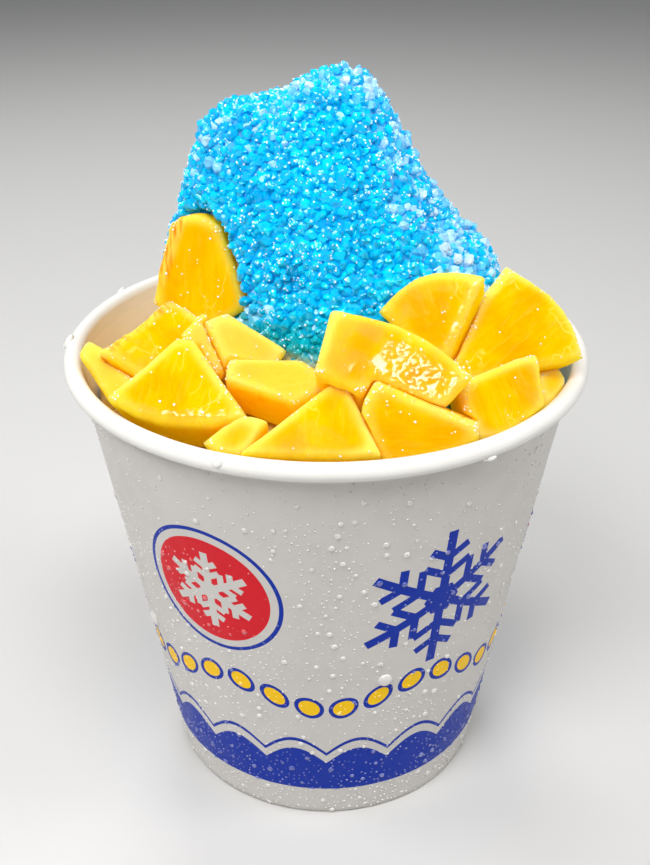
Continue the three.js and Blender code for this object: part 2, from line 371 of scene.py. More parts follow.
def wet_ripple_group():
    """Small uneven swells of a wet skin, with finer ones where Wetness is high."""
    inputs = {"Place": "Vector", "Size": "Float", "Wetness": "Float"}
    w, source, target = new_group("Wet Ripple", inputs, {"Height": "Float", "Patches": "Float"})
    cells = w.scaled(source["Place"], w.math("DIVIDE", 1.0, source["Size"]))
    swell = w.node("ShaderNodeTexNoise")
    swell.inputs["Scale"].default_value = 1.0
    swell.inputs["Detail"].default_value = 1.5
    w.join(cells, swell.inputs["Vector"])
    beads = w.node("ShaderNodeTexVoronoi", feature="SMOOTH_F1")
    beads.inputs["Scale"].default_value = 1.7
    beads.inputs["Smoothness"].default_value = 0.6
    w.join(cells, beads.inputs["Vector"])
    domes = w.within(beads.outputs["Distance"], 0.75, 0.1)
    round_beads = w.product(domes, source["Wetness"])
    w.join(w.math("ADD", swell.outputs["Fac"], round_beads), target["Height"])
    patches = w.node("ShaderNodeTexNoise")
    patches.inputs["Scale"].default_value = 0.3
    patches.inputs["Detail"].default_value = 2.0
    w.join(cells, patches.inputs["Vector"])
    w.join(w.within(patches.outputs["Fac"], 0.35, 0.65), target["Patches"])
    return w.tree


WET_RIPPLE = wet_ripple_group()


def wet_ripple(wiring, place, size, wetness):
    made = wiring.node("ShaderNodeGroup", node_tree=WET_RIPPLE)
    wiring.join(place, made.inputs["Place"])
    made.inputs["Size"].default_value = size * MM
    wiring.join(wetness, made.inputs["Wetness"])
    return made.outputs["Height"], made.outputs["Patches"]


def ice_facets_group():
    """Small flat facets, each tilted its own way; Height runs from about -1 to 1."""
    inputs = {"Place": "Vector", "Size": "Float"}
    w, source, target = new_group("Ice Facets", inputs, {"Height": "Float"})
    scaled = w.scaled(source["Place"], w.math("DIVIDE", 1.0, source["Size"]))
    cells = w.node("ShaderNodeTexVoronoi")
    cells.inputs["Scale"].default_value = 1.0
    w.join(scaled, cells.inputs["Vector"])
    tilt = w.vector("SUBTRACT", cells.outputs["Color"], (0.5, 0.5, 0.5))
    along = w.node("ShaderNodeVectorMath", operation="DOT_PRODUCT")
    w.join(w.vector("SUBTRACT", scaled, cells.outputs["Position"]), along.inputs[0])
    w.join(tilt, along.inputs[1])
    w.join(along.outputs["Value"], target["Height"])
    return w.tree


ICE_FACETS = ice_facets_group()


def ice_facets(wiring, place, size):
    made = wiring.node("ShaderNodeGroup", node_tree=ICE_FACETS)
    wiring.join(place, made.inputs["Place"])
    made.inputs["Size"].default_value = size * MM
    return made.outputs["Height"]


# Finishes

INK_BLUE = shade(2, 46, 160)
INK_RED = shade(214, 22, 38)
INK_YELLOW = shade(250, 200, 10)
INK_BLUE_THIN = shade(30, 76, 186)
INK_RED_THIN = shade(235, 80, 90)
# Painted highlight: the rolled rim, which faces the lamps, is painted whiter than the paper of the
# wall; the bare inside takes the same white.
RIM_LIT_WHITE = shade(234, 232, 226)
PAPER_WHITE = shade(207, 203, 198)
PAPER_FLECK = shade(186, 182, 177)
PAPER_DAMP = shade(199, 196, 193)

# Print on the cup: heights above the table and sizes, in millimetres
MOTIFS = 6
CRYSTAL_AT = 55
CRYSTAL_REACH = 15.5
CRYSTAL_ARM = 0.95
TWIGS = ((0.36, 0.34), (0.62, 0.28))
DISC_AT = 57
DISC_RADIUS = 11.5
SMALL_REACH = 8.6
SMALL_ARM = 0.75
RING_RADIUS = 13.4
RING_HALF_WIDTH = 0.4
GARLAND_AT = 33.5
GARLAND_SWING = 2.6
GARLAND_BEADS = 36
BEAD_RADIUS = 1.95
BEAD_OUTLINE = 2.75
BAND_FOOT = 7.5
BAND_TOP = 15.5
SCALLOPS = 18
SCALLOP_RISE = 4.0
LINE_ABOVE = 2.6
LINE_HALF_WIDTH = 0.45
RIM_FOOT = (84.0, 86.0)
GLAZE_FOOT = (85 * MM, 86 * MM)


def crystal_mask(w, x, y, reach, arm):
    """A six-armed snow crystal with two pairs of twigs on each arm; x, y and sizes in millimetres."""
    radius = w.reach(x, y)
    sixth = math.pi / 3
    turn = w.math("FRACT", w.math("ADD", w.math("DIVIDE", w.math("ARCTAN2", x, y), sixth), 0.5))
    turn = w.product(w.math("SUBTRACT", turn, 0.5), sixth)
    along = w.product(radius, w.math("COSINE", turn))
    across = w.math("ABSOLUTE", w.product(radius, w.math("SINE", turn)))
    mask = w.product(w.math("LESS_THAN", across, arm), w.math("LESS_THAN", along, reach))
    lean, rise = math.cos(sixth), math.sin(sixth)
    for start, length in TWIGS:
        out = w.math("SUBTRACT", along, start * reach)
        ahead = w.math("ADD", w.product(out, lean), w.product(across, rise))
        sideways = w.math("SUBTRACT", w.product(out, rise), w.product(across, lean))
        slim = w.math("LESS_THAN", w.math("ABSOLUTE", sideways), 0.85 * arm)
        mask = w.math("MAXIMUM", mask, w.product(slim, w.between(ahead, 0.0, length * reach)))
    heart = w.between(along, 0.11 * reach, 0.2 * reach)
    return w.math("MAXIMUM", mask, heart), radius


def cup_print_group():
    """The cup's printed or bare paper by place, and how mottled the paper is there."""
    outputs = {"Look": "Color", "Mottle": "Float"}
    w, source, target = new_group("Cup Print", {"Place": "Vector"}, outputs)
    place = source["Place"]
    parts = w.node("ShaderNodeSeparateXYZ")
    w.join(w.vector("MULTIPLY", place, (1 / MM,) * 3), parts.inputs[0])
    px, py, height = parts.outputs
    turn = w.math("ARCTAN2", px, w.product(py, -1.0))
    around = w.math("ADD", w.math("DIVIDE", turn, 2 * math.pi), 0.5)
    wall = w.math("MULTIPLY_ADD", height, WALL_FLARE / WALL_TOP, BASE_RADIUS - PAPER / 2)
    outside = w.math("GREATER_THAN", w.reach(px, py), wall)

    girth = w.product(w.math("ADD", wall, PAPER / 2), 2 * math.pi)
    step = w.product(around, float(MOTIFS))
    x = w.math("SUBTRACT", w.math("FRACT", step), 0.5)
    x = w.math("DIVIDE", w.product(x, girth), float(MOTIFS))
    even = w.math("MODULO", w.math("FLOOR", step), 2.0)
    odd = w.math("SUBTRACT", 1.0, even)

    # large blue crystals, and between them red discs with a small white crystal in each
    crystal, _ = crystal_mask(w, x, w.math("SUBTRACT", height, CRYSTAL_AT), CRYSTAL_REACH, CRYSTAL_ARM)
    small, from_middle = crystal_mask(w, x, w.math("SUBTRACT", height, DISC_AT), SMALL_REACH, SMALL_ARM)
    disc = w.product(w.math("LESS_THAN", from_middle, DISC_RADIUS), w.math("SUBTRACT", 1.0, small))
    ring = w.between(from_middle, RING_RADIUS - RING_HALF_WIDTH, RING_RADIUS + RING_HALF_WIDTH)

    # a garland of yellow beads outlined in blue
    bead_x = w.math("SUBTRACT", w.math("FRACT", w.product(around, float(GARLAND_BEADS))), 0.5)
    bead_x = w.math("DIVIDE", w.product(bead_x, girth), float(GARLAND_BEADS))
    swing = w.math("COSINE", w.product(step, 2 * math.pi))
    bead_y = w.math("SUBTRACT", height, w.math("MULTIPLY_ADD", swing, -GARLAND_SWING, GARLAND_AT))
    bead = w.reach(bead_x, bead_y)
    outline = w.math("LESS_THAN", bead, BEAD_OUTLINE)
    yellow = w.product(w.math("LESS_THAN", bead, BEAD_RADIUS), outside)

    # a blue band at the foot with a scalloped upper edge and a thin line above it
    wave = w.math("ABSOLUTE", w.math("SINE", w.product(around, math.pi * SCALLOPS)))
    crest = w.math("MULTIPLY_ADD", wave, SCALLOP_RISE, BAND_TOP)
    band = w.between(height, BAND_FOOT, crest)
    above = w.math("SUBTRACT", w.math("SUBTRACT", height, crest), LINE_ABOVE)
    line = w.between(above, -LINE_HALF_WIDTH, LINE_HALF_WIDTH)

    blue = outline
    for mask in (band, line, w.product(crystal, even), w.product(ring, odd)):
        blue = w.math("MAXIMUM", blue, mask)
    blue = w.product(blue, outside)
    red = w.product(disc, odd, outside)

    flecks = w.noise(place, 0.3, 2)
    mottle = w.noise(place, 6, 3)
    paper = w.blend(w.product(w.within(flecks, 0.62, 0.8), 0.3), PAPER_WHITE, PAPER_FLECK)
    paper = w.blend(w.product(w.within(mottle, 0.35, 0.75), 0.4), paper, PAPER_DAMP)
    # the bare inside and the rolled rim are painted whiter; on the rim this is a painted highlight
    bare = w.math("MAXIMUM", w.math("SUBTRACT", 1.0, outside), w.within(height, *RIM_FOOT))
    paper = w.blend(w.product(bare, 0.85), paper, RIM_LIT_WHITE)
    wear = w.product(w.within(flecks, 0.6, 0.8), 0.2)
    look = w.blend(blue, paper, w.blend(wear, INK_BLUE, INK_BLUE_THIN))
    look = w.blend(red, look, w.blend(wear, INK_RED, INK_RED_THIN))
    look = w.blend(yellow, look, INK_YELLOW)
    w.join(look, target["Look"])
    w.join(w.within(mottle, 0.3, 0.7), target["Mottle"])
    return w.tree


CUP_PRINT = cup_print_group()


def cup_print(wiring):
    """The print's look and the paper's mottle at each place, and the place itself."""
    place = wiring.node("ShaderNodeTexCoord").outputs["Object"]
    made = wiring.node("ShaderNodeGroup", node_tree=CUP_PRINT)
    wiring.join(place, made.inputs["Place"])
    return made.outputs["Look"], made.outputs["Mottle"], place


def printed_paper():
    made, w, shader = material("cup_paper", IOR=1.46, Specular_IOR_Level=0.15)
    look, mottle, place = cup_print(w)
    w.join(look, shader.inputs["Base Color"])
    parts = w.node("ShaderNodeSeparateXYZ")
    w.join(place, parts.inputs[0])
    rolled = w.within(parts.outputs["Z"], *GLAZE_FOOT)
    rough = w.math("MULTIPLY_ADD", mottle, 0.12, 0.34)
    glazed = w.math("MULTIPLY_ADD", rolled, -0.5, 1.0)
    w.join(w.product(rough, glazed), shader.inputs["Roughness"])
    fibres = w.math("ADD", w.noise(place, 0.5, 3), w.noise(place, 2.5, 2))
    add_bump(w, shader, fibres, 0.05, strength=0.5)
    return made


def dew_water():
    """Water beads coloured like the print under them, painted a little whiter as a painted sheen."""
    made, w, shader = material(
        "dew_water", Roughness=0.06, IOR=1.4, Coat_Weight=1.0, Coat_Roughness=0.03, Coat_IOR=1.7
    )
    look, mottle, place = cup_print(w)
    # painted sheen: the print's colour lightened towards white by the mottle
    whiter = w.math("MULTIPLY_ADD", mottle, 0.1, 0.05)
    w.join(w.blend(whiter, look, (1, 1, 1)), shader.inputs["Base Color"])
    height, _ = wet_ripple(w, place, 1.2, 0.0)
    add_bump(w, shader, height, 0.05)
    return made


YOLK = shade(255, 184, 0)
AMBER = shade(250, 166, 0)
CREAM = shade(255, 215, 104)
# Painted light: faces that turn down are painted this clearer yellow, which lifts the orange of their
# shade.
UNDERSIDE_LIT_YELLOW = shade(255, 208, 0)
FIBRE_BROWN = shade(200, 108, 8)
FIBRE_PALE = shade(255, 190, 84)
# Painted glint: juice beads are painted up to near white to stand for the highlights on them.
JUICE_GLINT_WHITE = shade(255, 252, 236)
# Painted light: the flesh glows faintly in its own colour, standing in for light through the flesh that
# lifts its shade.
FLESH_GLOW = 0.08
THREAD_CELL = (4.5, 12, 6)


def peach_flesh():
    made, w, shader = material(
        "peach_flesh",
        Roughness=0.35,
        IOR=1.3,
        Specular_IOR_Level=0.0,
        Subsurface_Weight=1.0,
        Subsurface_Radius=(0.8, 0.74, 0.06),
        Subsurface_Scale=8.0 * MM,
        Coat_Roughness=0.04,
        Coat_IOR=1.6,
        Emission_Strength=FLESH_GLOW,
    )
    place = w.attribute("flesh_place", "Vector")
    stone = w.attribute("stone_side")

    cloud = w.noise(place, 7, 3, (1, 1.6, 1))
    streaks = w.noise(place, 0.8, 3, (1, 9, 2))
    look = w.blend(w.within(cloud, 0.34, 0.6), AMBER, YOLK)
    # painted light: faces that turn down are painted yellower
    look = w.blend(w.attribute("underside_lit"), look, UNDERSIDE_LIT_YELLOW)
    look = w.blend(w.product(w.within(streaks, 0.5, 0.8), 0.1), look, CREAM)
    look = w.blend(w.product(w.within(streaks, 0.5, 0.3), 0.3), look, AMBER)

    # fine pale threads that wander from the stone to the skin
    warp = w.node("ShaderNodeTexNoise")
    warp.inputs["Scale"].default_value = 1 / (5 * MM)
    w.join(place, warp.inputs["Vector"])
    sway = w.vector("MULTIPLY", w.vector("SUBTRACT", warp.outputs["Color"], (0.5,) * 3), (7 * MM,) * 3)
    per_cell = [1 / (size * MM) for size in THREAD_CELL]
    spread = w.vector("MULTIPLY", w.vector("ADD", place, sway), per_cell)
    vein = w.node("ShaderNodeTexVoronoi", feature="DISTANCE_TO_EDGE")
    vein.inputs["Scale"].default_value = 1
    w.join(spread, vein.inputs["Vector"])
    thread = w.within(vein.outputs["Distance"], 0.03, 0.004)
    threads = w.product(thread, w.within(cloud, 0.5, 0.62), 0.4)
    # painted light: thin parts and thin edges, mostly where they look up, are painted cream for light
    # shining through thin flesh and a soft sheen
    lit_thin_part = w.product(w.attribute("lit_thin_part"), 0.5)
    lit_thin_edge = w.product(w.attribute("lit_thin_edge"), 0.7)
    for share in (threads, lit_thin_part, lit_thin_edge):
        look = w.blend(share, look, CREAM)
    ropes = w.noise(place, 0.7, 2, (1, 8, 1.5))
    rough_side = w.blend(w.within(ropes, 0.4, 0.62), FIBRE_BROWN, FIBRE_PALE)
    look = w.blend(stone, look, rough_side)
    w.join(look, shader.inputs["Base Color"])
    # painted light: the flesh's own colour also glows
    w.join(look, shader.inputs["Emission Color"])

    wet = w.attribute("wet_bumps")
    height, patches = wet_ripple(w, place, 1.9, wet)
    pooled = w.within(wet, 0.35, 0.7)
    w.join(w.math("MAXIMUM", w.product(patches, 0.06), pooled), shader.inputs["Coat Weight"])
    roped = w.product(ropes, stone)
    rippled = add_bump(w, shader, height, 0.16, "Coat Normal")
    fibred = w.math("ADD", roped, w.product(streaks, 0.4))
    add_bump(w, shader, fibred, 0.12, "Normal", over=rippled)
    return made


def fruit_juice():
    """Beads of juice along the fruit's edges, painted cream to near white as painted glints."""
    made, w, shader = material(
        "fruit_juice", Roughness=0.05, IOR=1.4, Coat_Weight=1.0, Coat_Roughness=0.02, Coat_IOR=1.7
    )
    place = w.node("ShaderNodeTexCoord").outputs["Object"]
    look = w.blend(w.within(w.attribute("tone"), 0.0, 0.7), CREAM, JUICE_GLINT_WHITE)
    w.join(look, shader.inputs["Base Color"])
    height, _ = wet_ripple(w, place, 0.6, 0.0)
    add_bump(w, shader, height, 0.05)
    return made


SYRUP_BLUE = shade(0, 196, 255)
SYRUP_DEEP = shade(0, 172, 248)
SYRUP_SHADE = shade(0, 146, 204)
SYRUP_PALE = shade(140, 210, 250)
SYRUP_TEAL = shade(0, 142, 140)
JUICE_GOLD = shade(255, 198, 30)
# Painted light: the grains glow faintly in their own colour, standing in for light scattered inside the
# ice, which lightens their shade.
INNER_GLOW = 0.12
FACET = 1.0
FACET_DEPTH = 0.5

# Juice seeps into the foot of the heap on its left and front: the way it lies, as shares of x and y
JUICE_SIDE = (0.8, 0.6)


def soaked_ice():
    made, w, shader = material(
        "soaked_ice",
        Roughness=0.4,
        IOR=1.31,
        Specular_IOR_Level=0.0,
        Subsurface_Weight=0.2,
        Subsurface_Radius=(0.05, 1.0, 1.0),
        Subsurface_Scale=1.5 * MM,
        Coat_Weight=1.0,
        Coat_Roughness=0.03,
        Coat_IOR=1.45,
    )
    place = w.node("ShaderNodeTexCoord").outputs["Object"]
    tone = w.noise(place, 7, 3)
    look = w.blend(w.within(tone, 0.3, 0.6), SYRUP_DEEP, SYRUP_BLUE)
    # painted shade: darker where the core's swell dips
    look = w.blend(w.attribute("hollow"), look, SYRUP_SHADE)
    look = w.blend(w.attribute("pale"), look, SYRUP_PALE)
    look = w.blend(w.attribute("teal"), look, SYRUP_TEAL)
    look = w.blend(w.attribute("juice"), look, JUICE_GOLD)
    w.join(look, shader.inputs["Base Color"])
    add_bump(w, shader, ice_facets(w, place, FACET), FACET_DEPTH)
    return made


def grain_ice(name, tint, whiter, clearness=0.0, shadow=0.0, teal=0.3):
    """Melting grains: a bright body under a wet, glinting surface; the body glows a little, a painted
    light.
    """
    made, w, shader = material(
        name,
        Roughness=0.4 * (1 - clearness) + 0.02,
        IOR=1.31,
        Specular_IOR_Level=0.0,
        Transmission_Weight=clearness,
        Coat_Weight=1.0,
        Coat_Roughness=0.03,
        Coat_IOR=1.52,
        Emission_Strength=INNER_GLOW,
    )
    place = w.node("ShaderNodeTexCoord").outputs["Object"]
    look = w.blend(w.within(w.attribute("tone"), 0.1, 0.95), tint, whiter)
    shaded = w.within(w.noise(place, 5, 2), 0.5, 0.7)
    look = w.blend(w.product(shaded, shadow), look, SYRUP_SHADE)
    parts = w.node("ShaderNodeSeparateXYZ")
    w.join(place, parts.inputs[0])
    x, y, z = parts.outputs
    look = w.blend(w.product(w.within(z, 103 * MM, 94 * MM), teal), look, SYRUP_TEAL)
    side = w.math("MULTIPLY_ADD", x, JUICE_SIDE[0], w.product(y, JUICE_SIDE[1]))
    juicy = w.product(w.within(z, 95 * MM, 91 * MM), w.within(side, 4 * MM, -8 * MM), 0.85)
    look = w.blend(juicy, look, JUICE_GOLD)
    w.join(look, shader.inputs["Base Color"])
    # painted light: the grains glow faintly in their own colour
    w.join(look, shader.inputs["Emission Color"])
    add_bump(w, shader, ice_facets(w, place, FACET), FACET_DEPTH)
    return made


# Grains and drops that sit on a surface

def scatter_tree():
    """Rounded grains on a surface, spread by a painted share, each lumpy in its own way."""
    sizes = ("Spacing", "Density", "Smallest", "Largest", "Tall", "Lift", "Lumps")
    inputs = {"Surface": "Geometry", "Where": "String", **dict.fromkeys(sizes, "Float")}
    inputs |= {"Tumbled": "Bool", "Smooth": "Bool", "Fineness": "Int", "Seed": "Int"}
    inputs["Finish"] = "Material"
    outputs = {"Grains": "Geometry"}
    w, given, target = new_group("Scattered Grains", inputs, outputs, "GeometryNodeTree")

    where = w.node("GeometryNodeInputNamedAttribute", data_type="FLOAT")
    w.join(given["Where"], where.inputs["Name"])
    spots = w.node("GeometryNodeDistributePointsOnFaces", distribute_method="POISSON")
    w.join(given["Surface"], spots.inputs["Mesh"])
    w.join(given["Spacing"], spots.inputs["Distance Min"])
    w.join(given["Density"], spots.inputs["Density Max"])
    w.join(where.outputs["Attribute"], spots.inputs["Density Factor"])
    w.join(given["Seed"], spots.inputs["Seed"])

    size = w.node("FunctionNodeRandomValue", data_type="FLOAT")
    w.join(given["Smallest"], size.inputs[2])
    w.join(given["Largest"], size.inputs[3])
    w.join(given["Seed"], size.inputs["Seed"])
    half = w.product(size.outputs[1], 0.5)

    raised = w.node("GeometryNodeSetPosition")
    w.join(spots.outputs["Points"], raised.inputs["Geometry"])
    lift = w.product(half, given["Lift"])
    w.join(w.scaled(spots.outputs["Normal"], lift), raised.inputs["Offset"])

    tumble = w.node("FunctionNodeRandomValue", data_type="FLOAT_VECTOR")
    tumble.inputs[0].default_value = (0, 0, 0)
    tumble.inputs[1].default_value = (2 * math.pi,) * 3
    w.join(given["Seed"], tumble.inputs["Seed"])
    turned = w.node("FunctionNodeEulerToRotation")
    w.join(tumble.outputs[0], turned.inputs[0])
    which = w.node("GeometryNodeSwitch", input_type="ROTATION")
    w.join(given["Tumbled"], which.inputs["Switch"])
    w.join(spots.outputs["Rotation"], which.inputs["False"])
    w.join(turned.outputs[0], which.inputs["True"])

    ball = w.node("GeometryNodeMeshIcoSphere")
    ball.inputs["Radius"].default_value = 1
    w.join(given["Fineness"], ball.inputs["Subdivisions"])
    shape = w.node("ShaderNodeCombineXYZ")
    w.join(half, shape.inputs[0])
    w.join(half, shape.inputs[1])
    w.join(w.product(half, given["Tall"]), shape.inputs[2])
    grains = w.node("GeometryNodeInstanceOnPoints")
    w.join(raised.outputs[0], grains.inputs["Points"])
    w.join(ball.outputs["Mesh"], grains.inputs["Instance"])
    w.join(which.outputs[0], grains.inputs["Rotation"])
    w.join(shape.outputs[0], grains.inputs["Scale"])

    tone = w.node("FunctionNodeRandomValue", data_type="FLOAT")
    w.join(w.math("ADD", given["Seed"], 7), tone.inputs["Seed"])
    kept = w.node("GeometryNodeStoreNamedAttribute", data_type="FLOAT", domain="INSTANCE")
    kept.inputs["Name"].default_value = "tone"
    w.join(grains.outputs[0], kept.inputs["Geometry"])
    w.join(tone.outputs[1], kept.inputs["Value"])
    real = w.node("GeometryNodeRealizeInstances")
    w.join(kept.outputs[0], real.inputs[0])

    place = w.node("GeometryNodeInputPosition")
    waver = w.node("ShaderNodeTexNoise")
    waver.inputs["Detail"].default_value = 1
    w.join(place.outputs[0], waver.inputs["Vector"])
    w.join(w.math("DIVIDE", 1.9, given["Largest"]), waver.inputs["Scale"])
    shift = w.vector("SUBTRACT", waver.outputs["Color"], (0.5, 0.5, 0.5))
    lumpy = w.node("GeometryNodeSetPosition")
    w.join(real.outputs[0], lumpy.inputs["Geometry"])
    w.join(w.scaled(shift, given["Lumps"]), lumpy.inputs["Offset"])
    smooth = w.node("GeometryNodeSetShadeSmooth")
    w.join(lumpy.outputs[0], smooth.inputs["Geometry"])
    w.join(given["Smooth"], smooth.inputs["Shade Smooth"])
    finish = w.node("GeometryNodeSetMaterial")
    w.join(smooth.outputs[0], finish.inputs["Geometry"])
    w.join(given["Finish"], finish.inputs["Material"])
    w.join(finish.outputs[0], target["Grains"])
    return w.tree


SCATTER = scatter_tree()


def scatter(name, surface, finish, **values):
    """Grains on a surface as one plain mesh; sizes in millimetres, density per square millimetre."""
    thing = place_object(name, surface.data.copy())
    rule = thing.modifiers.new("grains", "NODES")
    rule.node_group = SCATTER
    identifiers = {s.name: s.identifier for s in SCATTER.interface.items_tree if s.in_out == "INPUT"}
    in_metres = ("Spacing", "Smallest", "Largest", "Lumps")
    for key, value in values.items():
        if key in in_metres:
            value = value * MM
        elif key == "Density":
            value = value / MM**2
        rule[identifiers[key]] = value
    rule[identifiers["Finish"]] = finish
    return made_real(thing)


# Cup

# Dew: where it is painted, spacing, number to the square millimetre, smallest and largest across,
# height as a share of width, fineness of the mesh, seed
DEW = (
    ("dew_mist", "mist", 0.75, 0.9, 0.25, 0.6, 0.55, 1, 31),
    ("dew_beads", "beads", 2.0, 0.14, 0.6, 1.3, 0.55, 2, 32),
    ("dew_drops", "drops", 6.5, 0.012, 1.6, 3.2, 0.5, 3, 33),
)


def wall_radius(z):
    return BASE_RADIUS + WALL_FLARE * z / WALL_TOP


def roll_points(first, last, count):
    """Radius and height round the rolled rim, between two angles in degrees."""
    turns = np.radians(np.linspace(first, last, count))
    middle = RIM_RADIUS - ROLL_RADIUS
    return [(middle + ROLL_RADIUS * math.cos(t), WALL_TOP + ROLL_RADIUS * math.sin(t)) for t in turns]


def cup_profile():
    """Radius and height from the middle of the underside, up the outside and down the inside."""
    points = [(r, FLOOR_HEIGHT) for r in (0, 6, 12, 18, 24)]
    points += [(wall_radius(FLOOR_HEIGHT) - SKIRT, FLOOR_HEIGHT), (wall_radius(0) - SKIRT + 0.1, 0.5)]
    points += [(wall_radius(0) - SKIRT + 0.5, 0), (wall_radius(0) - 0.4, 0)]
    points += [(wall_radius(z), z) for z in np.linspace(0.35, WALL_TOP - 1.4, 64)]
    points += roll_points(-140, 180, 28)
    points += [(wall_radius(z) - PAPER, z) for z in np.linspace(WALL_TOP - 1, FLOOR_HEIGHT + PAPER, 48)]
    points += [(r, FLOOR_HEIGHT + PAPER) for r in (24, 18, 12, 6, 0)]
    return points


def lathe_mesh(name, profile, sides):
    """A mesh turned about the upright axis from radius and height in millimetres."""
    mesh = bpy.data.meshes.new(name)
    sheet = bmesh.new()
    rings = []
    for radius, z in profile:
        if radius == 0:
            rings.append([sheet.verts.new((0, 0, z * MM))] * sides)
            continue
        turns = [2 * math.pi * i / sides for i in range(sides)]
        ring = [(radius * MM * math.sin(t), -radius * MM * math.cos(t), z * MM) for t in turns]
        rings.append([sheet.verts.new(place) for place in ring])
    for one, two in zip(rings, rings[1:]):
        for i in range(sides):
            after = (i + 1) % sides
            corners = dict.fromkeys((one[i], one[after], two[after], two[i]))
            sheet.faces.new(corners).smooth = True
    sheet.to_mesh(mesh)
    sheet.free()
    return mesh


def seam_lift(points):
    """The lapped side seam: the paper steps out at one edge and settles back over some millimetres."""
    turn = np.arctan2(points[:, 0], -points[:, 1])
    across = (turn - SEAM_AT) * np.hypot(points[:, 0], points[:, 1])
    lap = smoothstep(-0.6, 0.3, across) * (1 - smoothstep(6, 11, across))
    return np.where(points[:, 2] > 0.2, SEAM_STEP * lap, 0)


def make_cup(finish):
    piece = place_object("cup_shell", lathe_mesh("cup_shell", cup_profile(), CUP_SIDES))
    points = vertices_of(piece.data)
    out = points * (1, 1, 0)
    reach = np.maximum(np.linalg.norm(out, axis=1), 1e-6)[:, None]
    outer = reach[:, 0] > wall_radius(points[:, 2]) - 0.3
    waver = 0.06 * clouds(points, 9, 3) + 0.035 * clouds(points, 2.5, 4)
    points += out / reach * np.where(outer, seam_lift(points) + waver, 0)[:, None]
    move_vertices(piece.data, points)
    finish_piece(piece, finish, "cup_paper", "paper_cup")


def make_dew(water):
    """Dew on the outside: a fine mist, beads, and heavier drops under the rim."""
    profile = [(wall_radius(z) + 0.02, z) for z in np.linspace(0.6, WALL_TOP - 2, 60)]
    profile += roll_points(-120, 60, 14)
    skin = place_object("dew_skin", lathe_mesh("dew_skin", profile, 160))
    points = vertices_of(skin.data)
    z = points[:, 2]
    patches = clouds(points, 14, 21)
    wall = 1 - smoothstep(83, 85, z)
    foot = 1 - smoothstep(6, 26, z)
    paint(skin.data, "mist", wall * np.clip(0.35 + 0.5 * patches + 0.8 * foot, 0.06, 1))
    paint(skin.data, "beads", wall * np.clip(0.3 + 0.6 * patches + 0.5 * foot, 0.05, 1))
    under_rim = np.clip(0.12 + smoothstep(76, 84, z), 0, 1) * smoothstep(2, 4, z)
    paint(skin.data, "drops", under_rim * np.clip(0.5 + 0.9 * clouds(points, 8, 22), 0, 1))
    for name, where, spacing, density, smallest, largest, tall, fineness, seed in DEW:
        drops = scatter(
            name, skin, water, Where=where, Spacing=spacing, Density=density, Smallest=smallest,
            Largest=largest, Tall=tall, Lift=0.0, Lumps=0.15 * smallest, Tumbled=False,
            Smooth=True, Fineness=fineness, Seed=seed,
        )
        finish_piece(drops, None, "cup_paper")
    bpy.data.objects.remove(skin)


# Peach

CHUNK_VOXEL = 0.38
ROUNDING = 8

# Softening passes that tell how far a place stands out, for edges, borders and thin parts
EDGE_PASSES = 30
BORDER_PASSES = 80
THIN_PASSES = 160
# Chunks whose faces that look up are all painted cream: painted light through their thin flesh.
LIT_THIN_CHUNKS = ("left_centre", "left_inner", "inner", "left_rim")
WET_CHUNKS = ("centre", "front_right")
STONE_END_CHUNKS = ("left_stone", "back_left")

# Where juice stands on a chunk: two ends of a streak and its half width, in millimetres
JUICE_STREAKS = {
    "right_upper": ((24.7, -20.9, 106.9), (20.5, -25, 98.9), 1.7),
    "left_inner": ((-20.6, -16.2, 99.4), (-19.4, -19, 96.5), 1.5),
    "front_left": ((-27, -32.5, 90.6), (-17, -33, 90.4), 1.0),
}


def chunk_axes(azimuth, elevation, spin):
    """Unit vectors across the chunk, towards its skin and out of its cut face."""
    a, e, s = (math.radians(v) for v in (azimuth, elevation, spin))
    outward = Vector((math.sin(a), -math.cos(a), 0))
    up = Vector((0, 0, 1))
    normal = outward * math.cos(e) + up * math.sin(e)
    downhill = outward * math.sin(e) - up * math.cos(e)
    skinward = downhill * math.cos(s) + normal.cross(downhill) * math.sin(s)
    side = skinward.cross(normal)
    return np.array([side, skinward, normal])


def streak_share(points, start, end, width):
    """1 along a streak, falling to 0 at its edges."""
    start, end = np.array(start), np.array(end)
    along = np.clip((points - start) @ (end - start) / np.sum((end - start) ** 2), 0, 1)
    away = np.linalg.norm(points - start - along[:, None] * (end - start), axis=1)
    return 1 - smoothstep(0.5 * width, width, away)


def standing_out(mesh, points, normals, passes):
    """How many millimetres each point stands out from the form when it is softened that much."""
    return np.sum((points - softened(mesh, points, passes)) * normals, axis=1)


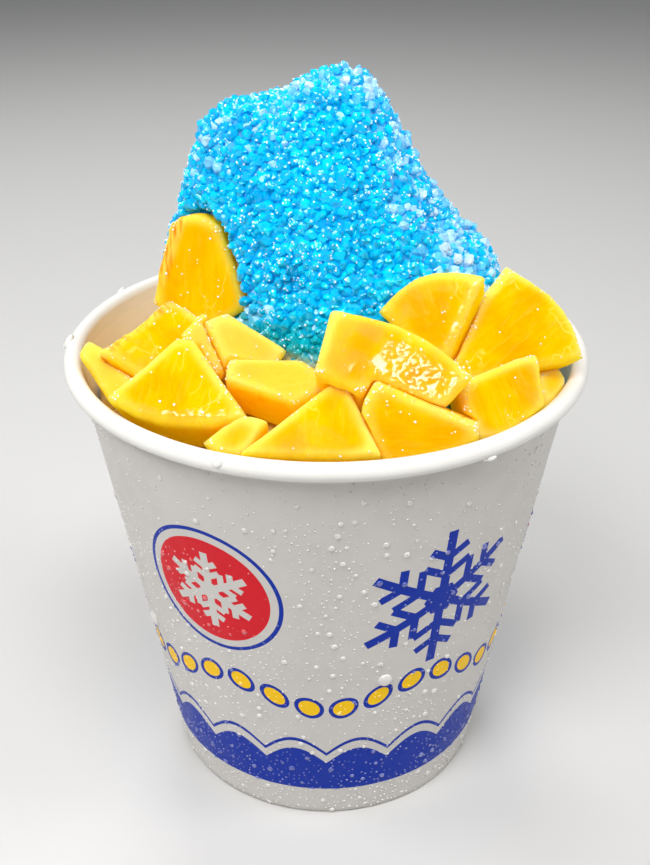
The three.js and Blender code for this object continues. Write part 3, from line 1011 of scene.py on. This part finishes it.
def make_chunk(name, finish, seed):
    at, azimuth, elevation, spin, length, wide, narrow = CHUNKS[name]
    piece = remeshed("peach_" + name, "chunk_" + name, CHUNK_VOXEL)
    mesh = piece.data
    points = softened(mesh, vertices_of(mesh), ROUNDING)
    move_vertices(mesh, points)
    normals = normals_of(mesh)
    local = (points - np.array(at)) @ chunk_axes(azimuth, elevation, spin).T
    edge = smoothstep(0.12, 0.5, standing_out(mesh, points, normals, EDGE_PASSES))
    border = smoothstep(0.1, 0.6, standing_out(mesh, points, normals, BORDER_PASSES))
    thin = smoothstep(0.3, 1.4, standing_out(mesh, points, normals, THIN_PASSES))
    # painted light: the cream borders and thin parts count most on faces that look up
    upward = smoothstep(0.1, 0.6, normals[:, 2])
    border *= (0.3 + 0.7 * upward) * (0.3 + 0.7 * smoothstep(-0.5, 0.4, clouds(local, 7, seed + 9)))
    thin *= 0.3 + 0.7 * upward
    if name in LIT_THIN_CHUNKS:
        thin = np.maximum(thin, 0.6 * upward)

    stone = np.zeros(len(points))
    wet = np.zeros(len(points))
    if name == "left_tall":
        half = (narrow + (wide - narrow) * (local[:, 1] / length + 0.5)) / 2
        stone = smoothstep(half - 2.2, half - 0.8, local[:, 0]) * smoothstep(5, 1, local[:, 1])
    if name in STONE_END_CHUNKS:
        stone = smoothstep(2.2 - length / 2, 0.8 - length / 2, local[:, 1])
    if name in WET_CHUNKS:
        wet = smoothstep(0.3, 0.7, normals[:, 2]) * smoothstep(-0.1, 0.25, clouds(local, 9, seed + 6))
    if name == "centre":
        wet *= smoothstep(5, 11, points[:, 0] + 6 * clouds(local, 2.6, seed + 8))
    if name in JUICE_STREAKS:
        wet = np.maximum(wet, streak_share(points, *JUICE_STREAKS[name]))
    wet = np.maximum(wet, edge * smoothstep(-0.1, 0.3, clouds(local, 3, seed + 7)))

    fibres = clouds(local * (1, 0.16, 0.4), 0.9, seed)
    relief = 0.15 + 0.12 * clouds(local, 5.5, seed + 1) + 0.02 * clouds(local, 1.6, seed + 2)
    relief += 0.02 * fibres
    relief += 0.2 * wet * pebbles(local, 1.9, seed + 3)
    ropes = clouds(local * (0.8, 0.8, 0.25), 0.8, seed + 4)
    relief += 0.14 * stone * ropes
    move_vertices(mesh, points + normals * relief[:, None])
    paint(mesh, "flesh_place", (local + 40 * seed) * MM)
    paint(mesh, "crisp_edge", edge)
    paint(mesh, "lit_thin_edge", border)
    paint(mesh, "lit_thin_part", thin)
    # painted light: how far a face turns down, for its yellower painted colour
    paint(mesh, "underside_lit", 0.75 * smoothstep(0.5, -0.1, normals[:, 2]))
    paint(mesh, "stone_side", stone * (0.75 + 0.25 * ropes))
    paint(mesh, "wet_bumps", wet)
    finish_piece(piece, finish, "peach_flesh", "peach_" + name)
    return piece


def make_juice(finish, chunks):
    """Beads of juice that stand along the fruit's wet edges, on the sides that face up."""
    share, upward = [], []
    for chunk in chunks:
        mesh = chunk.data
        edge = np.empty(len(mesh.vertices), np.float32)
        mesh.attributes["crisp_edge"].data.foreach_get("value", edge)
        runs = smoothstep(-0.4, 0.1, clouds(vertices_of(mesh), 6, 62))
        up = smoothstep(-0.1, 0.3, normals_of(mesh)[:, 2])
        upward.append(up)
        share.append(smoothstep(0.05, 0.5, edge) * runs * up)
    corners, faces = faces_of(chunks)
    mesh = bpy.data.meshes.new("fruit_skin")
    mesh.from_pydata(corners, [], faces)
    skin = place_object("fruit_skin", mesh)
    paint(mesh, "juicy", np.clip(0.025 * np.concatenate(upward) + 0.9 * np.concatenate(share), 0, 1))
    beads = scatter(
        "juice_beads", skin, finish, Where="juicy", Spacing=0.42, Density=6.0, Smallest=0.18,
        Largest=0.55, Tall=0.6, Lift=0.0, Lumps=0.1, Tumbled=False, Smooth=True,
        Fineness=1, Seed=61,
    )
    finish_piece(beads, None, "peach_flesh")
    bpy.data.objects.remove(skin)


# Ice

CORE_VOXEL = 0.8
HEAP_MIDDLE = (1.5, 5)
GRAIN_DEPTH = 1.1
BED_TOP = 88

# Grains: where they are painted, spacing, number to the square millimetre, smallest and largest
# across, lift out of the core as a share of their half width, seed
GRAINS = (
    ("ice_grains_soaked", "soaked_share", 1.54, 5.0, 1.7, 2.8, -0.25, 51),
    ("ice_grains_fine", "soaked_share", 1.54, 5.0, 1.1, 1.9, 0.35, 54),
    ("ice_grains_pale", "pale_share", 1.25, 5.0, 1.2, 2.3, 0.15, 52),
    ("ice_grains_clear", "clear_share", 2.4, 1.0, 1.4, 2.2, 0.8, 53),
)
DRAINED_SPOT = (-14.2, -11.5, 99)


def ice_tints(points):
    """How pale the ice is and how far fruit juice has coloured it, by place on the heap."""
    x, y, z = points.T
    across, along = x - HEAP_MIDDLE[0], y - HEAP_MIDDLE[1]
    reach = np.maximum(np.hypot(across, along), 1e-6)
    patches = clouds(points, 12, 43)
    # painted light, in part: the right side, the top and the upper left, along the heap's outline, are
    # painted pale where light shines through the grains
    right = smoothstep(0.35, 0.95, across / reach) * smoothstep(96, 104, z)
    top = smoothstep(128, 136, z)
    left = smoothstep(0.5, 0.95, -across / reach) * smoothstep(112, 124, z)
    back = smoothstep(0.1, 0.8, along / reach) * smoothstep(0.0, 0.6, patches)
    drained = np.exp(-np.sum((points - np.array(DRAINED_SPOT)) ** 2, axis=1) / 14)
    pale = np.clip(0.85 * right + 0.5 * top + 0.4 * left + 0.5 * back + drained, 0, 1)
    pale *= 0.8 + 0.2 * patches
    teal = 0.7 * smoothstep(104, 93, z) * smoothstep(0.1, -0.5, along / reach)
    juice = 0.8 * smoothstep(94, 87, z) * smoothstep(4, -8, JUICE_SIDE[0] * x + JUICE_SIDE[1] * y)
    return pale, teal, juice


def make_frost_glints(grains, finish):
    """Small white crystals on the outward sides of the grains, painted white to stand for glints."""
    bed = place_object("frost_bed", grains.data.copy())
    points = vertices_of(bed.data)
    out = points - np.array([HEAP_MIDDLE[0], HEAP_MIDDLE[1], 0])
    out[:, 2] = 0.55 * np.hypot(out[:, 0], out[:, 1])
    out /= np.linalg.norm(out, axis=1)[:, None]
    crown = smoothstep(0.45, 0.85, np.sum(out * normals_of(bed.data), axis=1))
    bunches = smoothstep(-0.35, 0.35, clouds(points, 3.5, 56))
    paint(bed.data, "crown", crown * (0.15 + 0.85 * bunches) * smoothstep(93, 99, points[:, 2]))
    crystals = scatter(
        "ice_frost_glints", bed, finish, Where="crown", Spacing=0.4, Density=3.5, Smallest=0.2,
        Largest=0.6, Tall=0.5, Lift=0.1, Lumps=0.25, Tumbled=True, Smooth=False, Fineness=1, Seed=57,
    )
    finish_piece(crystals, None, "blue_ice")
    bpy.data.objects.remove(bed)


def make_ice(finish, grain_finishes, frost_glints, chunks):
    """The heap: a core with a pebbled skin, packed all over with wet grains."""
    core = remeshed("shaved_ice", "ice_core", CORE_VOXEL)
    mesh = core.data
    smooth = softened(mesh, vertices_of(mesh), 3)
    move_vertices(mesh, smooth)
    normals = normals_of(mesh)
    bed = smoothstep(79, 81, smooth[:, 2]) * smoothstep(0.4, 0.7, normals[:, 2])
    above = np.maximum(smoothstep(83, 86, smooth[:, 2]), bed)
    points = smooth - GRAIN_DEPTH * normals * above[:, None]
    fruit = BVHTree.FromPolygons(*faces_of(chunks))
    gap = np.array([fruit.find_nearest(Vector(p) * MM)[3] for p in points]) / MM
    open_air = above * smoothstep(GRAIN_DEPTH, GRAIN_DEPTH + 0.35, gap)
    sky = Vector((0, 0, 1))
    for i in np.flatnonzero((smooth[:, 2] < BED_TOP) & (open_air > 0)):
        if fruit.ray_cast(Vector(points[i]) * MM, sky)[0] is not None:
            open_air[i] = 0
    swell = 0.6 * clouds(smooth, 7, 41) + 0.5 * clouds(smooth, 3.5, 42)
    pack = pebbles(smooth, 2.1, 44)
    points += normals * (open_air * (swell + 0.5 * pack))[:, None]
    move_vertices(mesh, points)
    pale, teal, juice = ice_tints(points)
    paint(mesh, "pale", pale)
    paint(mesh, "teal", teal)
    paint(mesh, "juice", juice)
    # painted shade for the dips of the swell
    paint(mesh, "hollow", smoothstep(0.0, -0.8, swell))
    paint(mesh, "soaked_share", open_air * np.clip(1.35 - 1.2 * pale, 0.15, 1))
    # pale and clear grains follow the paleness, which is in part painted light
    paint(mesh, "pale_share", open_air * np.clip(1.3 * pale - 0.1, 0, 1))
    paint(mesh, "clear_share", open_air * np.clip(1.3 * pale - 0.4, 0, 1))
    for kind, ice in zip(GRAINS, grain_finishes):
        name, where, spacing, density, smallest, largest, lift, seed = kind
        grains = scatter(
            name, core, ice, Where=where, Spacing=spacing, Density=density, Smallest=smallest,
            Largest=largest, Tall=0.85, Lift=lift, Lumps=1.4, Tumbled=True, Smooth=False,
            Fineness=2, Seed=seed,
        )
        finish_piece(grains, None, "blue_ice")
        if name == "ice_grains_fine":
            make_frost_glints(grains, frost_glints)
    for name in ("soaked_share", "pale_share", "clear_share"):
        mesh.attributes.remove(mesh.attributes[name])
    finish_piece(core, finish, "blue_ice", "shaved_ice")


# Stage, light and camera

# Lamps: place and width in metres, power in watts
LIT_AT = (0, 0, 0.09)
LAMPS = (
    ("key", (-0.24, -0.42, 0.66), 0.36, 3.7),
    ("top", (0.07, -0.31, 0.8), 0.3, 2.8),
    ("left", (-0.5, 0.0, 0.5), 0.24, 1.0),
    ("right", (0.5, -0.1, 0.45), 0.24, 1.25),
    ("back", (-0.1, 0.45, 0.55), 0.28, 1.5),
)

# Camera: place in metres, degrees below the horizon, lens and sensor in millimetres
CAMERA_AT = (0, -0.2066, 0.1828)
CAMERA_DOWN = 28.9
SENSOR_WIDTH = 36
FOCAL_LENGTH = 50.86
SIDE_SHIFT = -1.4 / 865

FLOOR_PALE = shade(204, 203, 201)
HORIZON = (0.3, 0.31, 0.32)
ZENITH = (0.1, 0.105, 0.11)


def make_stage():
    mesh = bpy.data.meshes.new("floor")
    sheet = bmesh.new()
    bmesh.ops.create_grid(sheet, x_segments=8, y_segments=8, size=3.0)
    sheet.to_mesh(mesh)
    sheet.free()
    floor = place_object("floor", mesh)
    finish, _, _ = material("pale_floor", Base_Color=FLOOR_PALE, Roughness=0.6)
    mesh.materials.append(finish)

    world = bpy.data.worlds.new("studio")
    bpy.context.scene.world = world
    world.use_nodes = True
    w = Wiring(world.node_tree)
    parts = w.node("ShaderNodeSeparateXYZ")
    w.join(w.node("ShaderNodeTexCoord").outputs["Generated"], parts.inputs[0])
    sky = world.node_tree.nodes["Background"]
    w.join(w.blend(w.within(parts.outputs["Z"], 0.15, 0.6), HORIZON, ZENITH), sky.inputs["Color"])
    sky.inputs["Strength"].default_value = 1.0


def area_light(name, place, aim, size, power):
    lamp = bpy.data.lights.new(name, "AREA")
    lamp.shape = "DISK"
    lamp.size = size
    lamp.energy = power
    thing = place_object(name, lamp)
    thing.location = place
    thing.rotation_euler = (Vector(aim) - Vector(place)).to_track_quat("-Z", "Y").to_euler()


def make_lights_and_camera():
    for name, place, size, power in LAMPS:
        area_light(name, place, LIT_AT, size, power)
    lens = bpy.data.cameras.new("camera")
    lens.sensor_width = SENSOR_WIDTH
    lens.lens = FOCAL_LENGTH
    lens.shift_x = SIDE_SHIFT
    lens.clip_start = 0.01
    camera = place_object("camera", lens)
    camera.location = CAMERA_AT
    camera.rotation_euler = (math.radians(90 - CAMERA_DOWN), 0, 0)
    bpy.context.scene.camera = camera
    bpy.context.scene.view_settings.view_transform = "Standard"


paper = printed_paper()
flesh = peach_flesh()
water = dew_water()
juice = fruit_juice()
grain_finishes = (
    grain_ice("grain_soaked", shade(0, 170, 230), shade(0, 202, 248), shadow=0.55, teal=0.85),
    grain_ice("grain_fine", shade(0, 180, 236), shade(0, 212, 252), shadow=0.55, teal=0.85),
    grain_ice("grain_pale", shade(40, 186, 248), shade(168, 218, 250)),
    grain_ice("grain_clear", shade(110, 202, 248), shade(195, 226, 250), clearness=0.1),
)
# painted glints: small crystals painted near white
frost_glints = grain_ice("frost_glint_white", shade(195, 228, 250), shade(248, 250, 255))
make_cup(paper)
make_dew(water)
chunks = [make_chunk(name, flesh, seed) for seed, name in enumerate(CHUNKS)]
make_juice(juice, chunks)
make_ice(soaked_ice(), grain_finishes, frost_glints, chunks)
make_stage()
make_lights_and_camera()
